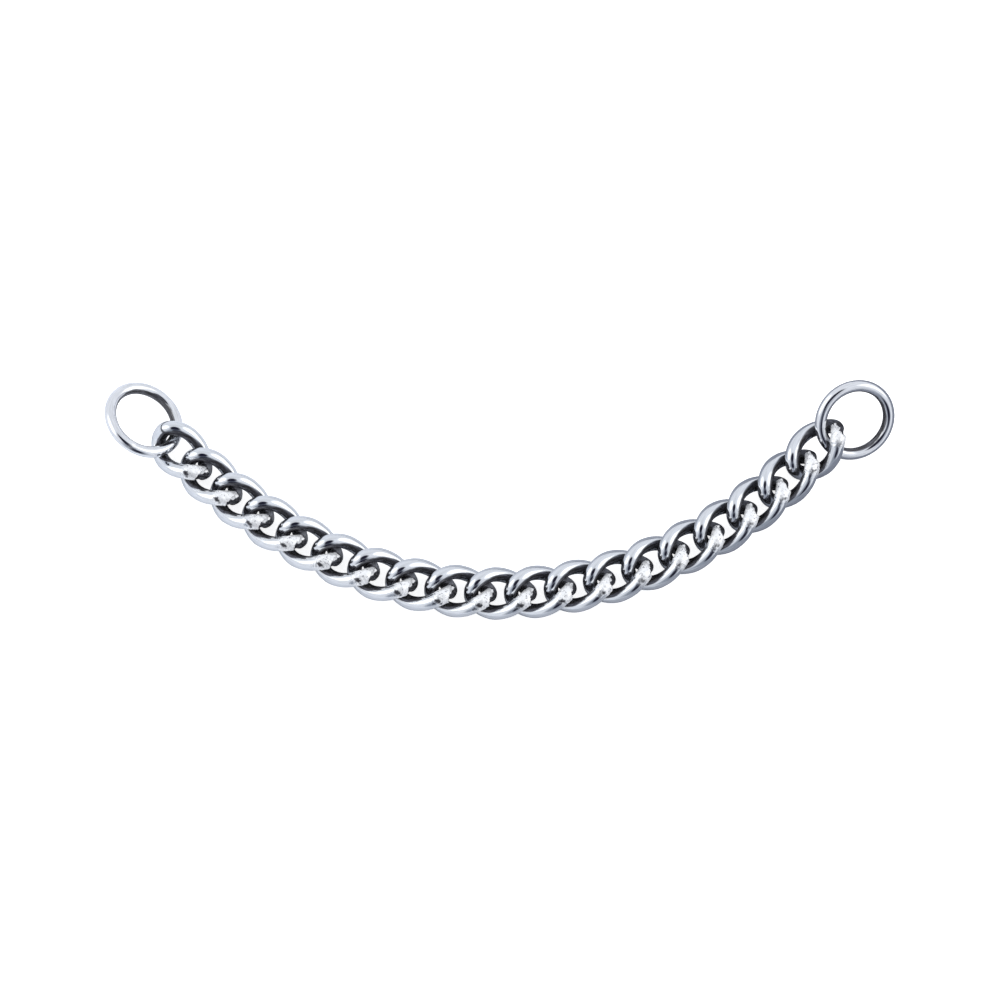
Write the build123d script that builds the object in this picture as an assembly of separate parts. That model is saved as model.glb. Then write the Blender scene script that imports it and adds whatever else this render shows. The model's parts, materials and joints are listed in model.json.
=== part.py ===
from build123d import *

import math
import os

# The curb chain of a curb bit: one row of twisted curb links, with a plain round ring through each end
# link. Lengths are in millimetres and angles in degrees.
#
# The chain lies slack on the plane Z = 0, in the hanging curve that its own weight gives it. +X runs
# from the left ring to the right ring, +Y points to the open side of the curve, and +Z is up. The
# origin is on the plane, under the middle of the whole chain's box.

# Links: one wire each, bent to a squared oval, welded shut and twisted until the chain lies flat.
LINK_COUNT = 19
LINK_WIRE = 3.9
LINK_PITCH = 10.6
LINK_HALF_LENGTH = 7.75  # of the wire's centre line, along the chain
LINK_HALF_WIDTH = 5.08  # of the wire's centre line, across the chain
LINK_SQUARENESS = 2.6  # power of the oval: 2 is an ellipse, and more is squarer
LINK_TWIST = 59.0  # turn of each end of the link out of the chain's flat face
LINK_BENDS = 24  # tangent arcs that the wire is bent in
WELD_WIRE = 4.2  # diameter of the wire where the weld has swollen it
WELD_BENDS = (20, 21, 22)  # the bends that it covers, on the arm that passes over the next link

# Rings: one wire each, welded and ground smooth.
RING_WIRE = 3.15
RING_RADIUS = 9.65  # of the wire's centre line

# How the chain lies: the bend from link to link is that of a hanging chain, except that it is never
# less than a certain angle in the right half. The last link leans on its ring.
MIDDLE_HEADING = 0.1  # of the middle link, above +X
MIDDLE_BEND = 5.95
LEAST_RIGHT_BEND = 5.0
LAST_LINK_BEND = 2.0
LAST_LINK_LIFT = 13.0  # of its free end above the plane
LEFT_END_ROLL = 4.0  # the chain is a little twisted along its left half

# Each ring leans on the plane and on its end link. A lean is the angle of the ring's axis from +Z, its
# bearing is the way that the top of the axis leans, above +X, and the place is the ring's centre along
# and across the end link.
LEFT_RING_LEAN = 31.4
LEFT_RING_BEARING = 34.3
LEFT_RING_PLACE = (-13.32, -0.91)
RIGHT_RING_LEAN = 37.9
RIGHT_RING_BEARING = -59.2
RIGHT_RING_PLACE = (12.66, -1.83)

FULL_TURN = 360.0
SHORTEST_RUN = 0.001  # a straight run under this length is left out


def superellipse(angle):
    """Centre line of a link before it is twisted, as (along, across)."""
    cos, sin = math.cos(math.radians(angle)), math.sin(math.radians(angle))
    power = 2 / LINK_SQUARENESS
    along = math.copysign(abs(cos) ** power, cos) * LINK_HALF_LENGTH
    across = math.copysign(abs(sin) ** power, sin) * LINK_HALF_WIDTH
    return along, across


def twisted(along, across):
    """The point of a twisted link that was at (along, across) while the link was flat."""
    turn = math.radians(-LINK_TWIST * along / LINK_HALF_LENGTH)
    return Vector(along, across * math.cos(turn), across * math.sin(turn))


def link_corners():
    """Corners of the closed path of a link's wire, whose runs touch the true centre line half way."""
    step = FULL_TURN / LINK_BENDS
    outset = math.cos(math.radians(step / 2)) ** (-2 / LINK_SQUARENESS)
    flat = [superellipse((i + 0.5) * step) for i in range(LINK_BENDS)]
    return [twisted(along * outset, across * outset) for along, across in flat]


def corner_arc(before, corner, after, cut):
    """The arc, as three points, that leaves each side of a corner the same distance from it."""
    way_in, way_out = (corner - before).normalized(), (after - corner).normalized()
    half_turn = math.radians(way_in.get_angle(way_out)) / 2
    radius = cut / math.tan(half_turn)
    inward = (way_out - way_in).normalized()
    middle = corner + inward * (radius / math.cos(half_turn) - radius)
    return corner - way_in * cut, middle, corner + way_out * cut


def bend_edges(corners):
    """For each corner of a closed path, its arc and what straight run is left after it.

    Each arc is as large as its two runs allow, so the arcs meet half way along a run.
    """
    count = len(corners)
    runs = [(corners[(i + 1) % count] - corners[i]).length for i in range(count)]
    arcs = []
    for i, corner in enumerate(corners):
        cut = min(runs[i - 1], runs[i]) / 2
        arcs.append(corner_arc(corners[i - 1], corner, corners[(i + 1) % count], cut))
    bends = []
    for i, arc in enumerate(arcs):
        bend = [Edge.make_three_point_arc(*arc)]
        next_start = arcs[(i + 1) % count][0]
        if (next_start - arc[2]).length > SHORTEST_RUN:
            bend.append(Edge.make_line(arc[2], next_start))
        bends.append(bend)
    return bends


def round_wire(bends, diameter):
    """A solid round wire along some bends, made edge by edge."""
    lengths = []
    for edge in sum(bends, []):
        section = Plane(origin=edge @ 0, z_dir=edge % 0) * Circle(diameter / 2)
        lengths.append(sweep(section, path=edge))
    return lengths[0].fuse(*lengths[1:])


def link_solid():
    """One link in its own frame: the chain runs along X, and the flat face is square to Z."""
    bends = bend_edges(link_corners())
    weld = [bends[i] for i in WELD_BENDS]
    return round_wire(bends, LINK_WIRE).fuse(round_wire(weld, WELD_WIRE))


def way(heading):
    """The level direction of a heading."""
    return Vector(math.cos(math.radians(heading)), math.sin(math.radians(heading)))


def hanging_bend(heading):
    """The turn from a link to the next one out, in a hanging chain."""
    return MIDDLE_BEND * math.cos(math.radians(heading)) ** 2


def headings():
    """The heading of each link above +X, from left to right."""
    left, right = [MIDDLE_HEADING], [MIDDLE_HEADING]
    for _ in range(LINK_COUNT // 2):
        left.append(left[-1] - hanging_bend(left[-1]))
        right.append(right[-1] + max(hanging_bend(right[-1]), LEAST_RIGHT_BEND))
    right[-1] = right[-2] + LAST_LINK_BEND
    return left[:0:-1] + right


def rolls():
    """The roll of each link about its own length, from left to right."""
    half = LINK_COUNT // 2
    return [LEFT_END_ROLL * max(0, half - i) / half for i in range(LINK_COUNT)]


def lifts():
    """How far the right end of each link is tipped up, from left to right."""
    return [0.0] * (LINK_COUNT - 1) + [LAST_LINK_LIFT]


def link_directions(heading, roll, lift):
    """The way along a link, and the way square to its flat face."""
    level, up = way(heading), Vector(0, 0, 1)
    tip, turn = math.radians(lift), math.radians(roll)
    length = level * math.cos(tip) + up * math.sin(tip)
    face = up * math.cos(tip) - level * math.sin(tip)
    return length, face * math.cos(turn) + up.cross(level) * math.sin(turn)


def link_centre_line():
    """Points of a link's wire in the link's own frame, a degree apart."""
    return [twisted(*superellipse(angle)) for angle in range(int(FULL_TURN))]


def resting_height(length, face):
    """The height of a link's centre when its lowest side touches the plane."""
    side = face.cross(length)
    drops = [-length.Z * p.X - side.Z * p.Y - face.Z * p.Z for p in link_centre_line()]
    return max(drops) + LINK_WIRE / 2


def link_frames():
    """The frame of each link where it lies, from left to right: links meet end to end."""
    frames = []
    meeting = Vector(0, 0)
    for heading, roll, lift in zip(headings(), rolls(), lifts()):
        length, face = link_directions(heading, roll, lift)
        half = Vector(length.X, length.Y) * (LINK_PITCH / 2)
        centre = meeting + half + Vector(0, 0, resting_height(length, face))
        frames.append(Plane(origin=centre, x_dir=length, z_dir=face))
        meeting += half * 2
    return frames


def ring_frame(link, place, lean, bearing):
    """The frame of a ring that rests on the plane, beside its end link."""
    side = Vector(0, 0, 1).cross(link.x_dir).normalized()
    centre = link.origin + side.cross(Vector(0, 0, 1)) * place[0] + side * place[1]
    slope = math.sin(math.radians(lean))
    height = RING_RADIUS * slope + RING_WIRE / 2
    axis = way(bearing) * slope + Vector(0, 0, math.cos(math.radians(lean)))
    return Plane(origin=(centre.X, centre.Y, height), z_dir=axis)


def chain():
    """Every piece of the chain where it lies, by name."""
    frames = link_frames()
    link = link_solid()
    ring = Torus(RING_RADIUS, RING_WIRE / 2)
    left = ring_frame(frames[0], LEFT_RING_PLACE, LEFT_RING_LEAN, LEFT_RING_BEARING)
    right = ring_frame(frames[-1], RIGHT_RING_PLACE, RIGHT_RING_LEAN, RIGHT_RING_BEARING)
    pieces = {"left_ring": left.location * ring}
    for number, frame in enumerate(frames, start=1):
        pieces[f"link_{number:02d}"] = frame.location * link
    pieces["right_ring"] = right.location * ring
    return pieces


def box_shift(pieces):
    """The move that brings the origin under the middle of the chain's box."""
    boxes = [piece.bounding_box() for piece in pieces.values()]
    lows = [min(getattr(box.min, axis) for box in boxes) for axis in "XYZ"]
    highs = [max(getattr(box.max, axis) for box in boxes) for axis in "XY"]
    return Pos(-(lows[0] + highs[0]) / 2, -(lows[1] + highs[1]) / 2, -lows[2])


pieces = chain()
shift = box_shift(pieces)
os.makedirs("parts", exist_ok=True)
for name, piece in pieces.items():
    export_step(shift * piece, f"parts/{name}.step")
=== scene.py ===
import json
import math

import bpy
from mathutils import Matrix, Vector, noise

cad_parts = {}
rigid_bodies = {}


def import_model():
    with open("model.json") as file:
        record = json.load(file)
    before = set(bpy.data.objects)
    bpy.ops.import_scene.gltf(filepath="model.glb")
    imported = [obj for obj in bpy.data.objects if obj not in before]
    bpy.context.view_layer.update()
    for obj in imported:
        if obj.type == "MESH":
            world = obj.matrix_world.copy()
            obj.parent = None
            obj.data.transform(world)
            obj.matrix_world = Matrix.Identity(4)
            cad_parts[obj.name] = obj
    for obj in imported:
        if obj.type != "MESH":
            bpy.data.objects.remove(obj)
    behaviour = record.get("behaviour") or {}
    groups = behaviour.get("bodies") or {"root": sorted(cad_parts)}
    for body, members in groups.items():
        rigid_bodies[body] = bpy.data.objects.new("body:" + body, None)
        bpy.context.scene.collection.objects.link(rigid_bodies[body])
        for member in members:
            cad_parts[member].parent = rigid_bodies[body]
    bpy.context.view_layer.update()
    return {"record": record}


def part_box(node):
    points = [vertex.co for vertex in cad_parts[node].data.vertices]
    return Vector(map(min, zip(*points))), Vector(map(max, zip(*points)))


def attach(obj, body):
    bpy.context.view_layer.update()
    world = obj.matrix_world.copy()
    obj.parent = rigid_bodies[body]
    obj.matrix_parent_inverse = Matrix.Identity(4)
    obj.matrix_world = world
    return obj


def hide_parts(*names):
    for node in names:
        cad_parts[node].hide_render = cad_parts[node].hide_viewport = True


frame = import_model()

# A curb chain: nineteen twisted wire links between two round rings. Each CAD wire is replaced by a finer
# mesh of the same wire, with its weld, the painted shade inside its eye and the faint flats that drawing
# leaves.

record = frame["record"]
MM = 0.001

# The wires, in millimetres and degrees: the same driving sizes as the CAD has.
LINK_COUNT = 19
LINK_WIRE = 3.9
LINK_PITCH = 10.6
HALF_LENGTH = 7.75  # of a link's centre line, along the chain
HALF_WIDTH = 5.08
SQUARENESS = 2.6  # power of the oval: 2 is an ellipse, and more is squarer
LINK_TWIST = 59.0  # turn of each end of the link out of the chain's flat face
LEFT_END_ROLL = 4.0  # of the first link, and less and less up to the middle one
LAST_LINK_LIFT = 13.0  # of its free end
RING_WIRE = 3.15
RING_RADIUS = 9.65

# The weld of a link is on the arm that passes over the next link. It begins at its heel, an angle round
# the flat oval from the link's right end, and breaks off at its reach along the link. Past it the wire
# is a thinner neck, painted dark as shade.
WELD_HEEL = 300.0
WELD_RUN_UP = 12.0  # the angle before the heel from which the wire is no longer plain
WELD_RISE = (-8, 12)  # the angles past the heel at which there is none of the weld, and all of it
WELD_REACH = 8.0
HEEL_CHANGE = 5.0  # either way, from link to link
REACH_CHANGE = 0.15
WELD_SWELL = 0.20
WELD_MOST = 0.33
WELD_FINENESS = 2.4  # of the mesh there, against the rest of the wire
LIP_HEIGHT = 0.10  # of the swollen edge just before it breaks off
LIP_PLACE = -0.22
LIP_SPREAD = 0.2
WELD_BREAK = 0.05  # half the length over which it breaks off
STUB_LENGTH = 0.85  # of the bright stub past the weld, on the side of the eye
STUB_SIDE = (-1.9, -0.9)  # the places across the link at which there is none of the stub, and all of it
STUB_BREAK = 0.06
STEP_SHADE_SPREAD = 0.10  # of the painted shade in the step between the weld and the stub
NECK_CUT = 0.50
NECK_END = 357.0
NECK_TAPER = 9.0

# The next link's wire needs room, so the weld swells only on the upper and outer sides of the wire, and
# less at its seat, where the next link's arm comes close when the chain bends. Each side is two cosines,
# from up, from the way inward or from the link's +Y: the side begins at the first, and at the second it
# has fully begun.
UPPER_SIDE = (-0.35, 0.25)
OUTER_SIDE = (0.85, 0.35)
SEAT_SIDE = (0.3, 0.8)
SEAT_ANGLES = (338, 349)
SEAT_EASE = 0.6

# A painted shadow in the gap at the crossing where the weld begins, a small dark patch, as (along, across)
# the link.
SHADOW_SPOT_PLACE = (5.4, -4.15)
SHADOW_SPOT_SIZE = (2.5, 1.15)
SHADOW_SPOT_DEPTH = 1.18
SHADOW_SPOT_FADE = 0.12  # how much fainter it is in the right half of the chain

# The painted shade inside the eye: (angle round the oval, cosine from the way inward at which it begins).
LINK_SHADE_EDGES = ((0, -1.2), (25, -1.0), (55, -0.05), (90, 0.08), (150, 0.10), (172, 0.22), (200, 0.30),
              (236, -0.10), (262, -0.05), (285, 0.25), (300, 0.75), (312, 1.5), (328, 1.5), (340, 0.45),
              (352, 0.35), (359, -1.2), (360, -1.2))
UNSHADED_ARM = (84, 150)  # the arm whose innermost edge gets no painted shade
UNSHADED_FROM = 0.86
# Where the painted shade inside a ring begins, and the value that paints no extra shade.
RING_SHADE_EDGE = 0.62
NO_SHADE_PAINT = -1.0

STREAK_DEPTH = 0.034  # of the long flats that drawing and twisting leave on the wire
STREAKS_ROUND = 2.3  # how quickly the flats follow each other round the wire
STREAKS_ALONG = 0.16  # and along it
SEAM_ANGLE = 200  # of a ring's ground weld
SEAM_SPREAD = 4.0
SEAM_HEIGHT = 0.02
SEAM_WELD = 0.35  # how much it looks like the weld of a link

LINK_STATIONS, LINK_SIDES = 230, 44
RING_STATIONS, RING_SIDES = 220, 36
CURVE_STEPS = 2880  # that a curve is measured in

WELD_ROUGHNESS = 0.32
WELD_METALLIC = 0.5
# The finish of the painted shade: dark, and less metallic than the bare wire.
SHADE_PAINT_ROUGHNESS = 0.24
SHADE_PAINT_METALLIC = 0.6

# The light tent round the object, and the cards in it: the way to each card's middle, the angles from
# there at which it is whole and gone, and its colour.
TENT = (0.82, 0.85, 0.91)
STUDIO_CARDS = (
    ((0.0, -0.88, 0.42), 20, 42, (0.30, 0.33, 0.39)),
    ((0.10, -0.86, 0.50), 13, 22, (0.015, 0.015, 0.03)),
    ((0.0, -0.52, 0.85), 9, 24, (0.09, 0.10, 0.13)),
    ((-0.80, 0.10, 0.62), 16, 30, (1.55, 1.58, 1.60)),
    ((0.86, 0.10, 0.52), 14, 28, (1.55, 1.57, 1.58)),
    ((0.0, -0.26, 0.97), 16, 26, (0.015, 0.015, 0.03)),
)
LAMP_SIZE = (0.4, 0.6)
LAMP_POWER = 3.0
FLOOR_REACH = 8.0
FLOOR_GAP = 0.00005  # below the chain, so that the two never share a surface
FLOOR_GLOW = 0.80
FLOOR_FALLOFF = 0.11  # each side of the middle, the distance over which the mirrored floor darkens

CAMERA_ELEVATION = 78
CAMERA_DISTANCE = 2.2
CAMERA_AIM = (0, -0.00033, 0.0065)
VIEW_WIDTH = 0.2657
SENSOR_MM = 36


# ---------------------------------------------------------------- curves
def smooth(low, high, value):
    """0 at low and beyond it, 1 at high and beyond it, and smooth between them."""
    t = min(1.0, max(0.0, (value - low) / (high - low)))
    return t * t * (3 - 2 * t)


def hump(distance, spread):
    """1 at no distance, and less away from there."""
    return math.exp(-((distance / spread) ** 2))


def flat_oval(angle):
    """A point of the flat oval, as shares of its half length and half width."""
    cos, sin = math.cos(math.radians(angle)), math.sin(math.radians(angle))
    power = 2 / SQUARENESS
    return math.copysign(abs(cos) ** power, cos), math.copysign(abs(sin) ** power, sin)


def twisted(share, along, across):
    """(along, across) as the twist turns it at a share of the link's half length."""
    turn = math.radians(-LINK_TWIST * share)
    return Vector((along, across * math.cos(turn), across * math.sin(turn)))


def oval_point(angle):
    """The centre line of a link's wire."""
    x, y = flat_oval(angle)
    return twisted(x, x * HALF_LENGTH, y * HALF_WIDTH)


def oval_inward(angle):
    """The way into the eye of a link from its centre line, square to the oval."""
    x, y = flat_oval(angle)
    steep_x = -math.copysign(abs(x) ** (SQUARENESS - 1), x) / HALF_LENGTH
    steep_y = -math.copysign(abs(y) ** (SQUARENESS - 1), y) / HALF_WIDTH
    return twisted(x, steep_x, steep_y).normalized()


def circle_point(angle):
    """The centre line of a ring's wire."""
    turn = math.radians(angle)
    return Vector((RING_RADIUS * math.cos(turn), RING_RADIUS * math.sin(turn), 0))


def circle_inward(angle):
    return -circle_point(angle).normalized()


def link_fineness(angle):
    return WELD_FINENESS if WELD_HEEL - WELD_RUN_UP < angle < NECK_END else 1.0


def ring_fineness(angle):
    return 1.0


def curve_stations(point, count, fineness):
    """Points of a closed curve, nearer each other where it is finer, as (point, angle, run to there).

    The length of the whole curve comes second.
    """
    dense = [point(360 * i / CURVE_STEPS) for i in range(CURVE_STEPS + 1)]
    run, effort = [0.0], [0.0]
    for i in range(CURVE_STEPS):
        step = (dense[i + 1] - dense[i]).length
        run.append(run[-1] + step)
        effort.append(effort[-1] + step * fineness(360 * (i + 0.5) / CURVE_STEPS))
    stations, j = [], 0
    for i in range(count):
        want = effort[-1] * i / count
        while effort[j + 1] < want:
            j += 1
        part = (want - effort[j]) / (effort[j + 1] - effort[j])
        place = dense[j].lerp(dense[j + 1], part)
        angle = 360 * (j + part) / CURVE_STEPS
        stations.append((place, angle, run[j] + part * (run[j + 1] - run[j])))
    return stations, run[-1]


# ---------------------------------------------------------------- wires
# A form describes a wire, by form(angle, out, point): at an angle round its curve and a point of its
# centre line, on the side that out points to. It gives the radius, how much weld there is and how much
# painted shade. An edge, by edge(angle, facing), gives the cosine from the way inward at which the wire
# is painted dark as shade, and facing is the cosine of the place that it is asked for.
def link_form(number):
    """The wire of a link, with its weld and neck: each link's weld is a little different."""
    seed = Vector((number * 7.31, number * 3.17, number * 1.73))
    reach = WELD_REACH + REACH_CHANGE * noise.noise(seed)
    heel = WELD_HEEL + HEEL_CHANGE * noise.noise(seed * 1.7)
    shadow_spot_depth = SHADOW_SPOT_DEPTH - SHADOW_SPOT_FADE * smooth(LINK_COUNT / 2, LINK_COUNT * 0.75, number)
    plain = LINK_WIRE / 2

    def swell(angle, out, place, rough_x):
        """How far the weld stands up."""
        near = noise.voronoi(place * 0.75 + seed)[0]
        facets = 0.22 * (min(0.6, near[1] - near[0]) - 0.3) + 0.06 * noise.noise(place * 2.2 + seed)
        lip = LIP_HEIGHT * hump(rough_x - reach - LIP_PLACE, LIP_SPREAD)
        outside = smooth(*UPPER_SIDE, out.z) * smooth(*OUTER_SIDE, out.dot(oval_inward(angle)))
        eased = 1 - SEAT_EASE * smooth(*SEAT_ANGLES, angle) * smooth(*SEAT_SIDE, out.y)
        return outside * eased * min(WELD_SWELL + facets + lip, WELD_MOST)

    def shadow_spot(out, place, rough_x):
        """How dark the painted shadow spot is at a place."""
        if out.z <= 0:
            return 0.0
        uneven = 0.25 * noise.noise(place * 1.6 + seed * 3)
        along = (rough_x - SHADOW_SPOT_PLACE[0]) / SHADOW_SPOT_SIZE[0] + uneven
        across = (place.y - SHADOW_SPOT_PLACE[1]) / SHADOW_SPOT_SIZE[1] - uneven
        return shadow_spot_depth * math.exp(-along * along - across * across)

    def form(angle, out, point):
        if angle < heel - WELD_RUN_UP:
            return plain, 0.0, NO_SHADE_PAINT
        place = point + out * plain
        rough_angle = angle + 5.0 * noise.noise(place * 0.7 + seed * 2)
        rough_angle += 3.0 * noise.noise(place * 2.1 + seed)
        rough_x = place.x + 0.26 * noise.noise(place * 0.9 + seed)
        rough_x += 0.14 * noise.noise(place * 3.1 + seed)
        stub = smooth(*STUB_SIDE, place.y)
        broken = smooth(reach - WELD_BREAK, reach + WELD_BREAK, rough_x)
        past = smooth(-STUB_BREAK, STUB_BREAK, rough_x - reach - STUB_LENGTH * stub)
        welded = smooth(heel + WELD_RISE[0], heel + WELD_RISE[1], rough_angle) * (1 - past)
        neck = broken * (1 - smooth(NECK_END - NECK_TAPER, NECK_END, angle))
        step_shade = stub * hump(rough_x - reach, STEP_SHADE_SPREAD)
        radius = plain + welded * (1 - broken) * swell(angle, out, place, rough_x) - neck * NECK_CUT
        # Painted shade: on the neck past the stub, in the step where the weld breaks off, and in the
        # shadow spot.
        return radius, welded, max(2 * past, 1.4 * step_shade, shadow_spot(out, place, rough_x)) + NO_SHADE_PAINT

    return form


def ring_form(number):
    """The wire of a ring, with its ground weld."""
    seed = Vector((number * 5.1, 2.0, 7.7))

    def form(angle, out, point):
        seam = hump(angle - SEAM_ANGLE, SEAM_SPREAD)
        wave = 0.008 * noise.noise((point + out) * 0.4 + seed)
        return RING_WIRE / 2 + wave + SEAM_HEIGHT * seam, SEAM_WELD * seam, NO_SHADE_PAINT

    return form


def link_edge(angle, facing):
    """Where a link's painted shade begins: there is none at its weld, and nothing but painted shade at its
    right end.
    """
    if UNSHADED_ARM[0] < angle < UNSHADED_ARM[1] and facing > UNSHADED_FROM:
        return 1.0
    for (a, low), (b, high) in zip(LINK_SHADE_EDGES, LINK_SHADE_EDGES[1:]):
        if a <= angle <= b:
            return low + (high - low) * smooth(a, b, angle)
    return LINK_SHADE_EDGES[-1][1]


def ring_edge(angle, facing):
    return RING_SHADE_EDGE


def untwisted_sides(tangents):
    """A way square to a closed wire at each station, that turns evenly and ends as it began."""
    count = len(tangents)
    sides = [tangents[0].orthogonal().normalized()]
    for i in range(1, count + 1):
        turn = tangents[i - 1].rotation_difference(tangents[i % count])
        sides.append(turn @ sides[-1])
    drift = sides[0].angle(sides[-1])
    if sides[0].cross(sides[-1]).dot(tangents[0]) < 0:
        drift = -drift
    return [Matrix.Rotation(-drift * i / count, 3, tangents[i]) @ sides[i] for i in range(count)]


def tube_faces(count, sides):
    """The faces of a closed tube, made of count rows of points with sides points in each."""
    faces = []
    for i in range(count):
        row, next_row = i * sides, (i + 1) % count * sides
        for k in range(sides):
            beside = (k + 1) % sides
            faces.append((row + k, row + beside, next_row + beside, next_row + k))
    return faces


def unroll(mesh, runs, sides):
    """A map of the wire in millimetres: along it, and round it."""
    uv = mesh.uv_layers.new(name="wire")
    girth = math.pi * LINK_WIRE  # of a link, and near enough for a ring
    for face in mesh.polygons:
        i, k = divmod(face.index, sides)
        corners = ((runs[i], k), (runs[i], k + 1), (runs[i + 1], k + 1), (runs[i + 1], k))
        for loop, (u, v) in zip(face.loop_indices, corners):
            uv.data[loop].uv = (u, v / sides * girth)


def add_attribute(mesh, name, values):
    made = mesh.attributes.new(name, "FLOAT", "POINT")
    made.data.foreach_set("value", values)


def wire_mesh(name, stations, length, sides, form, inward, edge):
    """A closed wire through some stations. inward(angle) is the way into the eye that it goes round."""
    count = len(stations)
    points = [station[0] for station in stations]
    tangents = [(points[(i + 1) % count] - points[i - 1]).normalized() for i in range(count)]
    verts, weld, inner = [], [], []
    for (point, angle, _), tangent, side in zip(stations, tangents, untwisted_sides(tangents)):
        up = tangent.cross(side)
        middle = inward(angle)
        for k in range(sides):
            around = 2 * math.pi * k / sides
            out = side * math.cos(around) + up * math.sin(around)
            radius, welded, shade_paint = form(angle, out, point)
            flats = Vector((math.cos(around), math.sin(around), 0)) * STREAKS_ROUND + point * STREAKS_ALONG
            radius += STREAK_DEPTH * noise.noise(flats) * (1 - welded)
            facing = out.dot(middle)
            verts.append((point + out * radius) * MM)
            weld.append(welded)
            # Painted shade: on the inside of the eye, or where the form paints it.
            inner.append(max(facing - edge(angle, facing), shade_paint))
    mesh = bpy.data.meshes.new(name)
    mesh.from_pydata(verts, [], tube_faces(count, sides))
    unroll(mesh, [station[2] for station in stations] + [length], sides)
    add_attribute(mesh, "weld", weld)
    add_attribute(mesh, "inner", inner)
    mesh.shade_smooth()
    mesh.update()
    return mesh


# ---------------------------------------------------------------- places
def matrix(centre, along, up):
    """The place of a piece whose own X is along, and whose own Z is up."""
    side = up.cross(along)
    turn = Matrix((along, side, up)).transposed().to_4x4()
    return Matrix.Translation(centre) @ turn


def joint_pivots():
    """The pivots of the joints that each piece is in."""
    pivots = {}
    for joint in record["behaviour"]["joints"]:
        for piece in (joint["parent"], joint["child"]):
            pivots.setdefault(piece, []).append(Vector(joint["pos_m"]))
    return pivots


def link_places():
    """Each link's matrix, from the pivots at its two ends."""
    pivots = joint_pivots()
    half_pitch = LINK_PITCH / 2 * MM
    middle = LINK_COUNT // 2
    places = {}
    for i in range(LINK_COUNT):
        name = f"link_{i + 1:02d}"
        left, right = sorted(pivots[name], key=lambda pivot: pivot.x)
        along = right - left
        along.z = 0
        along.normalize()
        across = Vector((0, 0, 1)).cross(along)
        centre = (left + right) / 2
        if i == 0:
            centre = right - along * half_pitch
        if i == LINK_COUNT - 1:
            along = Matrix.Rotation(math.radians(-LAST_LINK_LIFT), 3, across) @ along
            centre = left + along * half_pitch
        roll = math.radians(LEFT_END_ROLL * max(0, middle - i) / middle)
        up = across * math.sin(roll) + along.cross(across) * math.cos(roll)
        low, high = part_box(name)
        centre.z = (low.z + high.z) / 2
        places[name] = matrix(centre, along, up)
    return places


def ring_places():
    """Each ring's matrix, from the mount in its eye."""
    places = {}
    for mount in record["mounts"]:
        axis = Vector(mount["axis"]).normalized()
        along = axis.orthogonal().normalized()
        places[mount["name"].replace("_eye", "")] = matrix(Vector(mount["pos_m"]), along, axis)
    return places


# ---------------------------------------------------------------- materials
def node(tree, kind, **values):
    """A new node. Each value is the constant of the input of that name, or a setting of the node."""
    made = tree.nodes.new(kind)
    for key, value in values.items():
        if key in made.inputs:
            made.inputs[key].default_value = value
        else:
            setattr(made, key, value)
    return made


def empty_tree(owner):
    owner.use_nodes = True
    owner.node_tree.nodes.clear()
    return owner.node_tree


def attribute(tree, name):
    return node(tree, "ShaderNodeAttribute", attribute_name=name).outputs["Fac"]


def mottle(tree, place, scale, detail, roughness):
    made = node(tree, "ShaderNodeTexNoise", Scale=scale, Detail=detail, Roughness=roughness)
    tree.links.new(place, made.inputs["Vector"])
    return made.outputs["Fac"]


def scaled(tree, place, scale):
    made = node(tree, "ShaderNodeMapping", Scale=scale)
    tree.links.new(place, made.inputs["Vector"])
    return made.outputs["Vector"]


def ramp(tree, value, *stops):
    """A colour between two stops, each of them (position, colour)."""
    made = node(tree, "ShaderNodeValToRGB")
    for element, (position, colour) in zip(made.color_ramp.elements, stops):
        element.position = position
        element.color = (*colour, 1)
    tree.links.new(value, made.inputs["Fac"])
    return made.outputs["Color"]


def remap(tree, value, low, high, at_low, at_high, kind="LINEAR"):
    """at_low where the value is low or less, and at_high where it is high or more."""
    made = node(tree, "ShaderNodeMapRange", interpolation_type=kind)
    for name, number in (("From Min", low), ("From Max", high), ("To Min", at_low), ("To Max", at_high)):
        made.inputs[name].default_value = number
    tree.links.new(value, made.inputs["Value"])
    return made.outputs["Result"]


def mix_colours(tree, factor, under, over):
    made = node(tree, "ShaderNodeMix", data_type="RGBA")
    tree.links.new(factor, made.inputs["Factor"])
    tree.links.new(under, made.inputs["A"])
    tree.links.new(over, made.inputs["B"])
    return made.outputs["Result"]


def mix_number(tree, factor, under, over):
    made = node(tree, "ShaderNodeMix", B=over)
    tree.links.new(factor, made.inputs["Factor"])
    tree.links.new(under, made.inputs["A"])
    return made.outputs["Result"]


def metal_relief(tree, grain, pits, weld):
    """Fine grain everywhere, and pits where there is weld."""
    pitting = node(tree, "ShaderNodeMath", operation="MULTIPLY")
    tree.links.new(pits, pitting.inputs[0])
    tree.links.new(weld, pitting.inputs[1])
    fine = node(tree, "ShaderNodeBump", Strength=0.10, Distance=0.00006)
    tree.links.new(grain, fine.inputs["Height"])
    coarse = node(tree, "ShaderNodeBump", Strength=0.60, Distance=0.00022)
    tree.links.new(pitting.outputs["Value"], coarse.inputs["Height"])
    tree.links.new(fine.outputs["Normal"], coarse.inputs["Normal"])
    return coarse.outputs["Normal"]


def painted_shade_share(tree, inner, streaks, shade_from, shade_to, most):
    """How much painted shade the metal has, with an edge made ragged by the streaks."""
    raggedness = 0.55
    usual = 0.27  # what the streaks add on average
    ragged = node(tree, "ShaderNodeMath", operation="MULTIPLY_ADD")
    ragged.inputs[1].default_value = raggedness
    tree.links.new(streaks, ragged.inputs[0])
    tree.links.new(inner, ragged.inputs[2])
    return remap(tree, ragged.outputs["Value"], shade_from + usual, shade_to + usual, 0, most, "SMOOTHSTEP")


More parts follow.
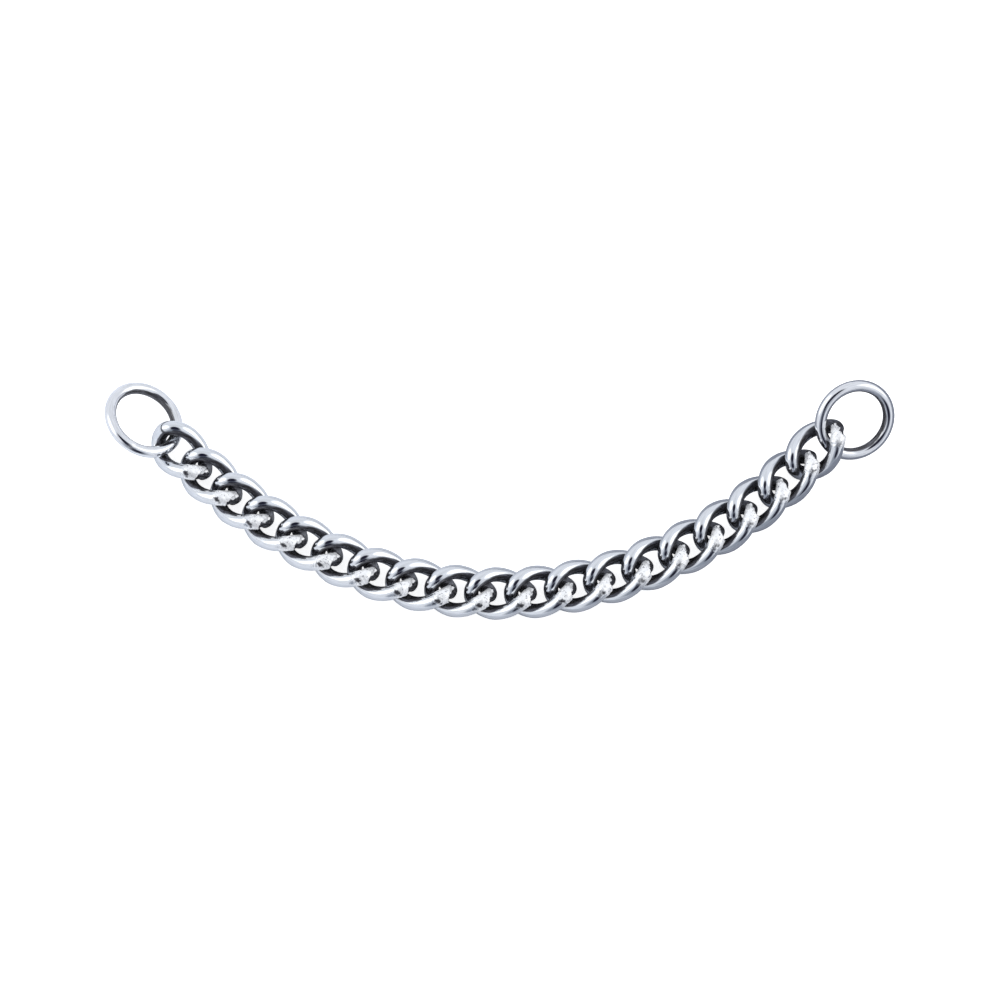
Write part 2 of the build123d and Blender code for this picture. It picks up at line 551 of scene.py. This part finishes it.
def metal(name, tint, rough, shade_from, shade_to, most_shade):
    """Polished steel wire with fine grain and streaks along it. Where the mesh says so it is a bright,
    pitted weld, or painted dark as shade."""
    material = bpy.data.materials.new(name)
    tree = empty_tree(material)
    uv = node(tree, "ShaderNodeUVMap", uv_map="wire").outputs["UV"]
    here = node(tree, "ShaderNodeTexCoord").outputs["Object"]
    weld = attribute(tree, "weld")
    grain = mottle(tree, scaled(tree, uv, (0.35, 5.0, 1.0)), 2.2, 5.0, 0.65)
    streaks = mottle(tree, scaled(tree, uv, (0.22, 1.5, 1.0)), 1.0, 3.0, 0.6)
    pits = mottle(tree, here, 1500.0, 4.0, 0.7)
    shade_share = painted_shade_share(tree, attribute(tree, "inner"), streaks, shade_from, shade_to, most_shade)

    polish = ramp(tree, streaks, (0.30, [part * 0.82 for part in tint]), (0.62, tint))
    crust = ramp(tree, pits, (0.34, (0.20, 0.20, 0.23)), (0.43, (1.0, 1.0, 1.0)))
    # Painted shade: near black to dark grey along the streaks.
    shade_paint = ramp(tree, streaks, (0.42, (0.008, 0.006, 0.007)), (0.72, (0.16, 0.16, 0.19)))
    bare_colour = mix_colours(tree, weld, polish, crust)
    bare_metallic = remap(tree, weld, 0, 1, 1.0, WELD_METALLIC)
    wire_rough = remap(tree, grain, 0.3, 0.75, rough * 0.8, rough * 1.5)
    bare_rough = mix_number(tree, weld, wire_rough, WELD_ROUGHNESS)

    out = node(tree, "ShaderNodeOutputMaterial")
    shader = node(tree, "ShaderNodeBsdfPrincipled")
    tree.links.new(mix_colours(tree, shade_share, bare_colour, shade_paint), shader.inputs["Base Color"])
    tree.links.new(mix_number(tree, shade_share, bare_metallic, SHADE_PAINT_METALLIC), shader.inputs["Metallic"])
    tree.links.new(mix_number(tree, shade_share, bare_rough, SHADE_PAINT_ROUGHNESS), shader.inputs["Roughness"])
    tree.links.new(metal_relief(tree, grain, pits, weld), shader.inputs["Normal"])
    tree.links.new(shader.outputs["BSDF"], out.inputs["Surface"])
    return material


def floor_material():
    """Pale paper. What the metal mirrors is the paper's shaded grey, without the glow that the lights
    give it for the eye."""
    material = bpy.data.materials.new("floor_paper")
    tree = empty_tree(material)
    link = tree.links.new
    out = node(tree, "ShaderNodeOutputMaterial")
    here = node(tree, "ShaderNodeTexCoord").outputs["Object"]

    fibre = mottle(tree, here, 300.0, 2.0, 0.5)
    paper = node(tree, "ShaderNodeBsdfDiffuse")
    link(ramp(tree, fibre, (0, (0.84, 0.84, 0.84)), (1, (0.90, 0.90, 0.90))), paper.inputs["Color"])
    glow = node(tree, "ShaderNodeEmission", Strength=FLOOR_GLOW)
    lit = node(tree, "ShaderNodeAddShader")
    link(paper.outputs["BSDF"], lit.inputs[0])
    link(glow.outputs["Emission"], lit.inputs[1])

    # Painted shade: the paper that the metal mirrors is painted darker towards +X.
    across = node(tree, "ShaderNodeSeparateXYZ")
    link(here, across.inputs["Vector"])
    falloff = remap(tree, across.outputs["X"], -FLOOR_FALLOFF, FLOOR_FALLOFF, 0, 1, "SMOOTHSTEP")
    mirrored = node(tree, "ShaderNodeBsdfDiffuse")
    link(ramp(tree, falloff, (0, (0.86, 0.88, 0.92)), (1, (0.25, 0.265, 0.31))), mirrored.inputs["Color"])

    path = node(tree, "ShaderNodeLightPath")
    pick = node(tree, "ShaderNodeMixShader")
    link(path.outputs["Is Glossy Ray"], pick.inputs["Fac"])
    link(lit.outputs["Shader"], pick.inputs[1])
    link(mirrored.outputs["BSDF"], pick.inputs[2])
    link(pick.outputs["Shader"], out.inputs["Surface"])
    return material


# ---------------------------------------------------------------- pieces
def place_piece(name, mesh, place, material):
    """The finer wire, in the place of the CAD's own."""
    piece = bpy.data.objects.new(f"{name}_wire", mesh)
    bpy.context.scene.collection.objects.link(piece)
    mesh.materials.append(material)
    mesh.transform(place)
    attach(piece, name)
    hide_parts(name)


def make_links(material):
    stations, length = curve_stations(oval_point, LINK_STATIONS, link_fineness)
    for number, (name, place) in enumerate(link_places().items(), start=1):
        mesh = wire_mesh(name, stations, length, LINK_SIDES, link_form(number), oval_inward, link_edge)
        place_piece(name, mesh, place, material)


def make_rings(material):
    stations, length = curve_stations(circle_point, RING_STATIONS, ring_fineness)
    for number, (name, place) in enumerate(ring_places().items(), start=1):
        mesh = wire_mesh(name, stations, length, RING_SIDES, ring_form(number), circle_inward, ring_edge)
        place_piece(name, mesh, place, material)


# ---------------------------------------------------------------- studio
def make_floor():
    mesh = bpy.data.meshes.new("floor")
    corners = [(x * FLOOR_REACH, y * FLOOR_REACH, 0) for x, y in ((-1, -1), (1, -1), (1, 1), (-1, 1))]
    mesh.from_pydata(corners, [], [(0, 1, 2, 3)])
    floor = bpy.data.objects.new("floor", mesh)
    floor.location.z = -FLOOR_GAP
    bpy.context.scene.collection.objects.link(floor)
    mesh.materials.append(floor_material())


def tent_colour(tree):
    """The light tent as reflections see it: pale, with bright, grey and dark cards in it."""
    here = node(tree, "ShaderNodeTexCoord").outputs["Generated"]
    tent = node(tree, "ShaderNodeRGB")
    tent.outputs["Color"].default_value = (*TENT, 1)
    colour = tent.outputs["Color"]
    for way, whole, gone, card in STUDIO_CARDS:
        lean = node(tree, "ShaderNodeVectorMath", operation="DOT_PRODUCT")
        lean.inputs[1].default_value = Vector(way).normalized()
        tree.links.new(here, lean.inputs[0])
        low, high = math.cos(math.radians(gone)), math.cos(math.radians(whole))
        over = node(tree, "ShaderNodeMix", data_type="RGBA", B=(*card, 1))
        factor = remap(tree, lean.outputs["Value"], low, high, 0, 1, "SMOOTHSTEP")
        tree.links.new(factor, over.inputs["Factor"])
        tree.links.new(colour, over.inputs["A"])
        colour = over.outputs["Result"]
    return colour


def make_world():
    """A plain white backdrop for the camera, and the light tent for all else."""
    world = bpy.data.worlds.new("studio")
    bpy.context.scene.world = world
    tree = empty_tree(world)
    link = tree.links.new
    out = node(tree, "ShaderNodeOutputWorld")
    seen = node(tree, "ShaderNodeBackground", Color=(1, 1, 1, 1), Strength=1.0)
    tent = node(tree, "ShaderNodeBackground", Strength=1.0)
    path = node(tree, "ShaderNodeLightPath")
    pick = node(tree, "ShaderNodeMixShader")
    link(tent_colour(tree), tent.inputs["Color"])
    link(path.outputs["Is Camera Ray"], pick.inputs["Fac"])
    link(tent.outputs["Background"], pick.inputs[1])
    link(seen.outputs["Background"], pick.inputs[2])
    link(pick.outputs["Shader"], out.inputs["Surface"])


def soft_light(name, place, colour):
    """A lamp that shines on the middle of the scene, and that the metal doesn't mirror."""
    data = bpy.data.lights.new(name, "AREA")
    data.shape = "RECTANGLE"
    data.size, data.size_y = LAMP_SIZE
    data.energy = LAMP_POWER
    data.color = colour
    light = bpy.data.objects.new(name, data)
    light.visible_glossy = False
    light.location = place
    light.rotation_euler = (-Vector(place)).to_track_quat("-Z", "Y").to_euler()
    bpy.context.scene.collection.objects.link(light)


def make_camera():
    """A far camera in front of the chain, looking down steeply."""
    elevation = math.radians(CAMERA_ELEVATION)
    data = bpy.data.cameras.new("camera")
    data.sensor_width = SENSOR_MM
    data.lens = SENSOR_MM * CAMERA_DISTANCE / VIEW_WIDTH
    camera = bpy.data.objects.new("camera", data)
    back = Vector((0, -math.cos(elevation), math.sin(elevation)))
    camera.location = Vector(CAMERA_AIM) + back * CAMERA_DISTANCE
    camera.rotation_euler = (-back).to_track_quat("-Z", "Y").to_euler()
    bpy.context.scene.collection.objects.link(camera)
    bpy.context.scene.camera = camera


link_steel = metal("link_steel", (0.86, 0.88, 0.91), 0.075, shade_from=-0.10, shade_to=0.12, most_shade=0.97)
ring_steel = metal("ring_steel", (0.90, 0.91, 0.935), 0.055, shade_from=-0.04, shade_to=0.12, most_shade=0.93)
make_links(link_steel)
make_rings(ring_steel)
make_floor()
make_world()
soft_light("left", (-0.9, 0.2, 0.75), (0.95, 0.97, 1.0))
soft_light("right", (0.9, 0.3, 0.6), (1, 1, 1))
bpy.context.scene.view_settings.view_transform = "Standard"
make_camera()
